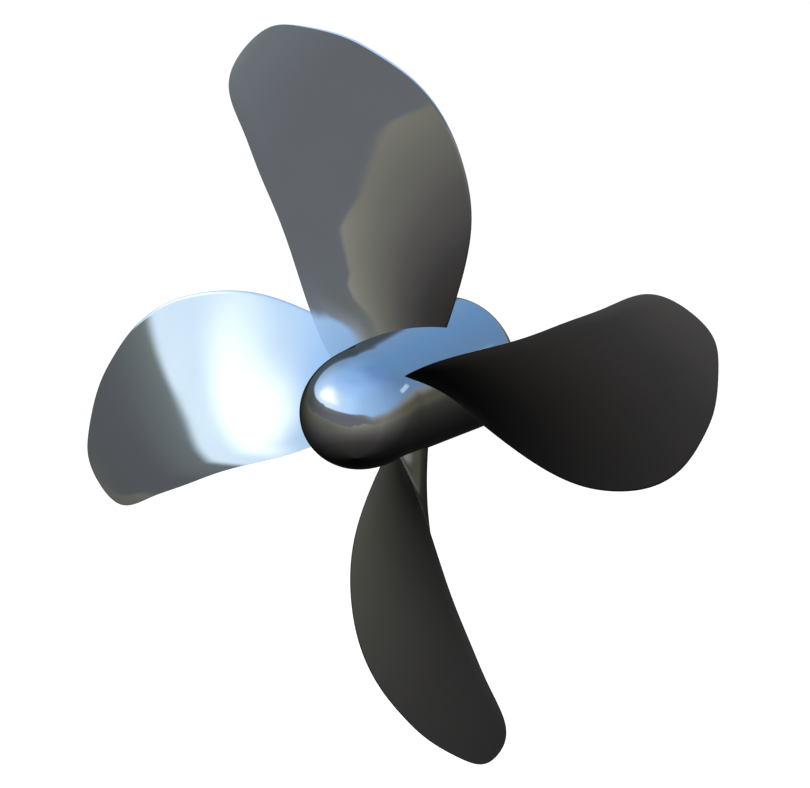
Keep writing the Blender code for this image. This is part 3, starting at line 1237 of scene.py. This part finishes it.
@dataclass
class ShaftNut:
    """The hexagon shaft nut and the keeper that stops it turning."""

    hub: Hub
    milled: Material
    screw: SocketScrew
    across_flats: float = 0.145
    height: float = 0.080
    hole_radius: float = 0.050
    hole_broken: float = 0.003
    corner_drop: float = 0.0065    # the corners are turned off over this length
    corner_start: float = 0.001    # from this far inside the flats
    hole_steps: int = 128
    keeper_width: float = 0.030
    keeper_length: float = 0.060
    keeper_height: float = 0.012
    keeper_broken: float = 0.0008
    keeper_hole: float = 0.0055
    keeper_hole_steps: int = 32
    screw_spacing: float = 0.036
    drill_depth: float = 0.03
    past: float = 0.01             # the cutters run this far past the faces

    def make(self) -> None:
        """Make the nut, its keeper and the keeper's screws."""
        top = self.hub.nut_face
        low, flat = top - self.height, self.across_flats / 2
        corner = flat / math.cos(math.pi / 6)
        nut = new_primitive("shaft_nut_forging", bpy.ops.mesh.primitive_cylinder_add, vertices=6,
                            radius=corner, depth=self.height, location=(0, 0, 0))
        nut.data.transform(Matrix.Translation((0, top - self.height / 2, 0))
                           @ Matrix.Rotation(math.radians(90), 4, "X"))
        face, wide, thin = flat - self.corner_start, corner + 0.0002, 0.00001
        cut_away(nut, turned("nut_chamfer_tool", [
            (0.0, top + thin), (face, top + thin), (wide, top - self.corner_drop),
            (wide, low + self.corner_drop), (face, low - thin), (0.0, low - thin)],
            self.hole_steps), "INTERSECT")
        hole, broken, past = self.hole_radius, self.hole_broken, self.past
        mouth = hole + broken
        cut_away(nut, turned("nut_hole_tool", [
            (0.0, top + past), (mouth, top + past), (mouth, top), (hole, top - broken),
            (hole, low + broken), (mouth, low), (mouth, low - past), (0.0, low - past)],
            self.hole_steps))
        hand_over(nut, "shaft_nut", Slot.MACHINED, self.milled)
        self.make_keeper(top)

    def make_keeper(self, top: float) -> None:
        """Make the keeper and its screws beside one of the nut's flats.

        Args:
            top: where the nut's forward face lies.
        """
        gap, hole = self.hub.fit_gap, self.keeper_hole
        out = self.across_flats / 2 + gap + self.keeper_width / 2
        bar = new_primitive("nut_keeper_bar", bpy.ops.mesh.primitive_cube_add, size=1,
                            location=(out, top - self.keeper_height / 2, 0),
                            scale=(self.keeper_width, self.keeper_height, self.keeper_length))
        places = [Matrix.Translation((out, 0, side * self.screw_spacing / 2)) for side in (1, -1)]
        start, end = top + self.past, top - self.drill_depth
        drill = turned("keeper_hole", [(0.0, start), (hole, start), (hole, end), (0.0, end)],
                       self.keeper_hole_steps)
        cut_away(bar, joined_copies(drill, places))
        break_edges(bar, self.keeper_broken)
        hand_over(bar, "nut_keeper", Slot.MACHINED, self.milled)
        down = Matrix.Translation((0, top - self.keeper_height - gap - self.screw.head_height, 0))
        hand_over_copies(self.screw.model(Way.AFT), "keeper_screw", "_fastener",
                         [place @ down for place in places], Slot.MACHINED, self.screw.steel)


@dataclass(frozen=True)
class Cloud:
    """A bright place in the sky, in degrees.

    Attributes:
        azimuth: its middle.
        foot: the elevations between which it starts.
        top: the elevations between which it ends.
        side: how far aside it is still full, and is gone.
        light: how bright it is.
    """

    azimuth: float
    foot: Span
    top: Span
    side: Span
    light: float


@dataclass
class Surroundings:
    """What the polished steel mirrors: a bright sky with clouds over far hills and ground.

    The camera sees plain white, and dull surfaces are lit by an even white. Stops are
    by azimuth, from straight aft towards +X, and the ground's are by elevation.
    """

    clouds: tuple[Cloud, ...] = (
        Cloud(-47.0, foot=(20.0, 28.5), top=(32.0, 56.0), side=(3.0, 33.0), light=0.55),
        Cloud(-20.0, foot=(18.0, 27.0), top=(28.0, 42.0), side=(3.0, 17.0), light=0.17),
        Cloud(136.0, foot=(19.2, 21.0), top=(24.5, 26.5), side=(4.5, 8.5), light=0.34))
    cloud_tint: tuple[float, float, float] = (1.0, 1.0, 0.9)
    low_to_high: Span = (35.0, 66.0)         # where the low sky passes into the high one,
    high_to_zenith: Span = (62.0, 88.0)      # and that into the zenith
    ridge_depth: float = 12.0      # how far down from the skyline the ridge's haze reaches
    degrees_held: Span = (-30.0, 60.0)       # a ramp's levels, from 0 to 1, in degrees
    strength: float = 1.587        # makes up for what the steel swallows
    white: float = 1.15
    sky_low: Stops = (
        (-180, "#648db9"), (-125, "#7896b4"), (-90, "#afcdee"), (-65, "#cbe3f6"),
        (-45, "#def2ff"), (-20, "#d2e8fa"), (0, "#bddcfd"), (15, "#b4d8ff"),
        (50, "#9bbfe6"), (95, "#84a9d2"), (140, "#6283a7"), (180, "#648db9"))
    sky_high: Stops = (
        (-180, "#668fbc"), (-110, "#89b4e5"), (-40, "#a3c9f6"), (30, "#9fc9fc"),
        (90, "#8cb2e4"), (140, "#6b90c4"), (180, "#668fbc"))
    zenith: str = "#8cb2e4"
    hills: Stops = (
        (-180, "#66665f"), (-155, "#4c5560"), (-140, "#3c464e"), (-125, "#445257"),
        (-80, "#474940"), (-50, "#55585c"), (-20, "#63666a"), (45, "#64686b"),
        (90, "#70746f"), (125, "#59564a"), (155, "#46443b"), (168, "#4a4940"),
        (180, "#66665f"))
    ridge: Stops = (
        (-180, "#858a90"), (-152, "#64778e"), (-142, "#4c5e6e"), (-125, "#4f6070"),
        (-80, "#46525b"), (-50, "#687073"), (-30, "#6f7a75"), (15, "#686776"),
        (45, "#707780"), (75, "#8b9299"), (125, "#7d7b79"), (160, "#8a8987"),
        (180, "#858a90"))
    skyline: Stops = (
        (-180, 18), (-158, 20), (-152, 24), (-146, 30), (-142, 35), (-138, 34), (-132, 31),
        (-126, 26), (-118, 21.8), (-100, 18), (-85, 18.3), (-72, 17.4), (-58, 16.5),
        (-52, 15.9), (-49, 15.2), (-44.5, 16), (-42, 15.6), (-38, 13.5), (-35, 12.4),
        (-15, 11.8), (0, 12.6), (44, 13.4), (54, 11.4), (60, 8.6), (65, 6.9), (70, 6.4),
        (76, 7.4), (98, 8.2), (118, 12), (145, 13.8), (160, 18.3), (180, 18))
    skyline_soft: Stops = (
        (-180, 3), (-150, 4), (-125, 4), (-105, 2.4), (-60, 1.6), (-40, 1.4), (0, 2.2),
        (45, 2.3), (56, 2.2), (66, 3.0), (76, 4.8), (95, 5.8), (125, 6.6), (150, 3.5),
        (180, 3))
    ground_edge: Stops = (
        (-180, -6), (-100, 2.8), (-72, -0.4), (-58, -5), (-56, -3.4), (-54.5, -2.2),
        (-53, -1.5), (-51.5, -2.6), (-45, -5.6), (-25, -9.8), (0, -11.8), (4, -12.3),
        (5.4, -13.6), (6.4, -11.1), (8, -10.6), (12, -12), (18, -12.8), (20.5, -12),
        (23, -10.2), (25.5, -8.6), (34, -8.9), (41, -8.3), (45, -5.7), (52, -5.5),
        (61, -8), (71, -10.5), (90, -9.3), (120, -9), (150, -7.6), (180, -6))
    edge_soft: Stops = (
        (-180, 2), (-60, 0.7), (-50, 0.6), (-10, 1.1), (6, 0.7), (50, 0.8), (80, 3),
        (115, 5.4), (150, 5), (180, 2))
    ground: Stops = (
        (-90, "#232221"), (-75, "#2a2826"), (-60, "#33312f"), (-45, "#3d3b3a"),
        (-30, "#565452"), (-18, "#6f6e67"), (-8, "#858479"), (0, "#989c91"))
    ground_light: Stops = (
        (-180, 0.08), (-125, 0.065), (-90, 0.21), (-50, 0.50), (-10, 0.84), (25, 1.0),
        (75, 0.86), (85, 0.88), (95, 0.68), (105, 0.54), (135, 0.21), (180, 0.08))
    tree: Tree = field(init=False)
    azimuth: Socket = field(init=False)      # from 0 to 1, with straight aft at 0.5
    elevation: Socket = field(init=False)

    def build(self) -> None:
        """Make the world."""
        world = bpy.data.worlds.new("surroundings")
        bpy.context.scene.world = world
        world.use_nodes = True
        self.tree = tree = world.node_tree
        tree.nodes.remove(tree.nodes["Background"])
        self.find_direction()
        even = tuple((azimuth, self.ridge_depth / 2) for azimuth in (-180, 180))
        colour = self.by_azimuth(self.hills)
        for cover, share in (
                (self.by_azimuth(self.ridge), self.above(self.skyline, even, -2.0, 0.0)),
                (self.sky(), self.above(self.skyline, self.skyline_soft))):
            colour = add_node(tree, "Mix", {0: share, 6: colour, 7: cover}, **COLOUR_MIX)
        share = self.above(self.ground_edge, self.edge_soft)
        colour = add_node(tree, "Mix", {0: share, 6: self.land(), 7: colour}, **COLOUR_MIX)
        mix = add_node(tree, "MixShader", {
            0: add_node(tree, "LightPath", out="Is Glossy Ray"),
            1: add_node(tree, "Background", {"Color": linear("#ffffff"), "Strength": self.white}),
            2: add_node(tree, "Background", {"Color": colour, "Strength": self.strength})})
        set_sockets(tree, tree.nodes["World Output"], {"Surface": mix})

    def find_direction(self) -> None:
        """Work out the azimuth and the elevation of the mirrored direction."""
        way = add_node(self.tree, "TexCoord", out="Generated")
        axes = add_node(self.tree, "SeparateXYZ", {"Vector": way}).node.outputs
        aft = add_node(self.tree, "Math", {0: axes["Y"], 1: -1.0}, operation="MULTIPLY")
        turn = add_node(self.tree, "Math", {0: axes["X"], 1: aft}, operation="ARCTAN2")
        rise = add_node(self.tree, "Math", {0: axes["Z"]}, operation="ARCSINE")
        self.azimuth = add_node(self.tree, "MapRange", {
            "Value": turn, "From Min": -math.pi, "From Max": math.pi})
        self.elevation = add_node(self.tree, "Math", {0: rise, 1: 180 / math.pi},
                                  operation="MULTIPLY")

    def by_azimuth(self, stops: Stops) -> Socket:
        """Look up a colour or a level by azimuth."""
        ramp = tuple(((azimuth + 180) / 360, value) for azimuth, value in stops)
        return add_node(self.tree, "ValToRGB", {"Fac": self.azimuth}, stops=ramp)

    def degrees(self, line: Stops) -> Socket:
        """Look up a number of degrees by azimuth.

        Args:
            line: the degrees by azimuth, within those held.

        Returns:
            The degrees.
        """
        low, high = self.degrees_held
        share = self.by_azimuth(tuple((a, (e - low) / (high - low)) for a, e in line))
        return add_node(self.tree, "Math", {0: share, 1: high - low, 2: low},
                        operation="MULTIPLY_ADD")

    def above(self, line: Stops, soft: Stops, start: float = -1.0, end: float = 1.0) -> Socket:
        """Tell how far a direction is above a line in the distance.

        Args:
            line: the line's elevation by azimuth.
            soft: half the width of its soft edge by azimuth.
            start: where the change starts, in half widths above the line.
            end: where it ends.

        Returns:
            0 below the start and 1 above the end.
        """
        over = add_node(self.tree, "Math", {0: self.elevation, 1: self.degrees(line)},
                        operation="SUBTRACT")
        share = add_node(self.tree, "Math", {0: over, 1: self.degrees(soft)}, operation="DIVIDE")
        return self.step(share, start, end)

    def step(self, value: Socket, start: float, end: float, rising: bool = True) -> Socket:
        """Pass softly from 0 to 1 between two values.

        Args:
            value: what is looked at.
            start: where the change starts.
            end: where it ends.
            rising: False to pass from 1 to 0.

        Returns:
            The share.
        """
        return add_node(self.tree, "MapRange", {
            "Value": value, "From Min": start, "From Max": end, "To Min": float(not rising),
            "To Max": float(rising)}, interpolation_type="SMOOTHSTEP")

    def sky(self) -> Socket:
        """Shade the sky, with the bright clouds that show on the nose and the blades.

        Returns:
            The sky's colour.
        """
        colour = self.by_azimuth(self.sky_low)
        for above, span in ((self.by_azimuth(self.sky_high), self.low_to_high),
                            (linear(self.zenith), self.high_to_zenith)):
            share = self.step(self.elevation, *span)
            colour = add_node(self.tree, "Mix", {0: share, 6: colour, 7: above}, **COLOUR_MIX)
        for cloud in self.clouds:
            tint = add_node(self.tree, "VectorMath", {
                0: self.cloud_tint, "Scale": self.shine(cloud)}, operation="SCALE")
            colour = add_node(self.tree, "VectorMath", {0: colour, 1: tint}, operation="ADD")
        return colour

    def shine(self, cloud: Cloud) -> Socket:
        """Light one cloud.

        Args:
            cloud: the cloud.

        Returns:
            The cloud's light.
        """
        turn = add_node(self.tree, "Math", {
            0: self.azimuth, 1: 360.0, 2: -180.0 - cloud.azimuth}, operation="MULTIPLY_ADD")
        aside = add_node(self.tree, "Math", {0: turn}, operation="ABSOLUTE")
        light = cloud.light
        for share in (self.step(self.elevation, *cloud.foot),
                      self.step(self.elevation, *cloud.top, rising=False),
                      self.step(aside, *cloud.side, rising=False)):
            light = add_node(self.tree, "Math", {0: share, 1: light}, operation="MULTIPLY")
        return light

    def land(self) -> Socket:
        """Shade the ground, bright in the distance and dark below.

        Returns:
            The ground's colour.
        """
        share = add_node(self.tree, "MapRange", {
            "Value": self.elevation, "From Min": -90.0, "From Max": 0.0})
        depth = tuple(((elevation + 90) / 90, colour) for elevation, colour in self.ground)
        base = add_node(self.tree, "ValToRGB", {"Fac": share}, stops=depth)
        return add_node(self.tree, "Mix", {
            0: 1.0, 6: base, 7: self.by_azimuth(self.ground_light)},
            blend_type="MULTIPLY", **COLOUR_MIX)


@dataclass
class Studio:
    """The pale floor, the soft lights and the camera."""

    floor_height: float = -2.6
    floor_radius: float = 70.0
    # Each light's place, its power in watts and the side of its square
    lights: tuple[tuple[str, tuple[float, float, float], float, float], ...] = (
        ("soft_key_light", (-5.2, -4.4, 4.6), 260.0, 3.2),
        ("soft_fill_light", (5.0, 3.6, 3.4), 120.0, 4.0))
    camera_place: tuple[float, float, float] = (3.9168, -6.7157, 2.3626)
    camera_azimuth: float = 31.409
    camera_elevation: float = 17.558
    lens: float = 133.64
    sensor_width: float = 36.0

    def build(self) -> None:
        """Put up the studio."""
        self.make_floor()
        for light in self.lights:
            self.make_light(*light)
        self.make_camera()
        bpy.context.scene.view_settings.view_transform = "Standard"

    def make_floor(self) -> None:
        """Lay the pale floor well below the blades."""
        floor = new_primitive("studio_floor", bpy.ops.mesh.primitive_circle_add, vertices=96,
                              radius=self.floor_radius, fill_type="NGON",
                              location=(0, 0, self.floor_height))
        floor.data.materials.append(PaleFloor().build())
        floor.visible_glossy = False

    def make_light(self, name: str, place: tuple[float, float, float], power: float,
                   size: float) -> None:
        """Hang one soft light that looks at the middle of the propeller.

        Args:
            name: the light's name.
            place: where it hangs.
            power: its power in watts.
            size: the side of its square.
        """
        deselect()
        bpy.ops.object.light_add(type="AREA", location=place)
        light = bpy.context.object
        light.name = name
        light.data.energy = power
        light.data.size = size
        light.rotation_euler = Vector(place).to_track_quat("Z", "Y").to_euler()
        light.visible_glossy = False
        light.visible_camera = False

    def make_camera(self) -> None:
        """Set the camera to the photo's view."""
        a, e = math.radians(self.camera_azimuth), math.radians(self.camera_elevation)
        back = Vector((math.sin(a) * math.cos(e), -math.cos(a) * math.cos(e), math.sin(e)))
        deselect()
        bpy.ops.object.camera_add(location=self.camera_place)
        camera = bpy.context.object
        camera.name = "camera"
        camera.rotation_euler = back.to_track_quat("Z", "Y").to_euler()
        camera.data.sensor_width = self.sensor_width
        camera.data.lens = self.lens
        bpy.context.scene.camera = camera


def main() -> None:
    """Dress the propeller and put up the studio."""
    logging.basicConfig(level=logging.INFO, format="%(name)s: %(message)s")
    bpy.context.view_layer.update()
    LOG.info("%d solids in the frame", len(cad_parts))
    blade_mirror = PolishedSteel(Marks.ALONG_BLADE).build()
    hub_mirror = PolishedSteel(Marks.ROUND_SHAFT).build()
    turned_steel = TurnedSteel().build()
    milled_steel = MilledSteel().build()
    rubber = NitrileRubber().build()
    hub = Hub(hub_mirror, turned_steel)
    hub.make_boss()
    hub.make_nose_cap()
    Blades(hub, blade_mirror).make()
    screw = SocketScrew(milled_steel)
    ForwardSeal(hub, rubber, screw).make()
    ShaftNut(hub, milled_steel, screw).make()
    Surroundings().build()
    Studio().build()


if __name__ == "__main__":
    main()
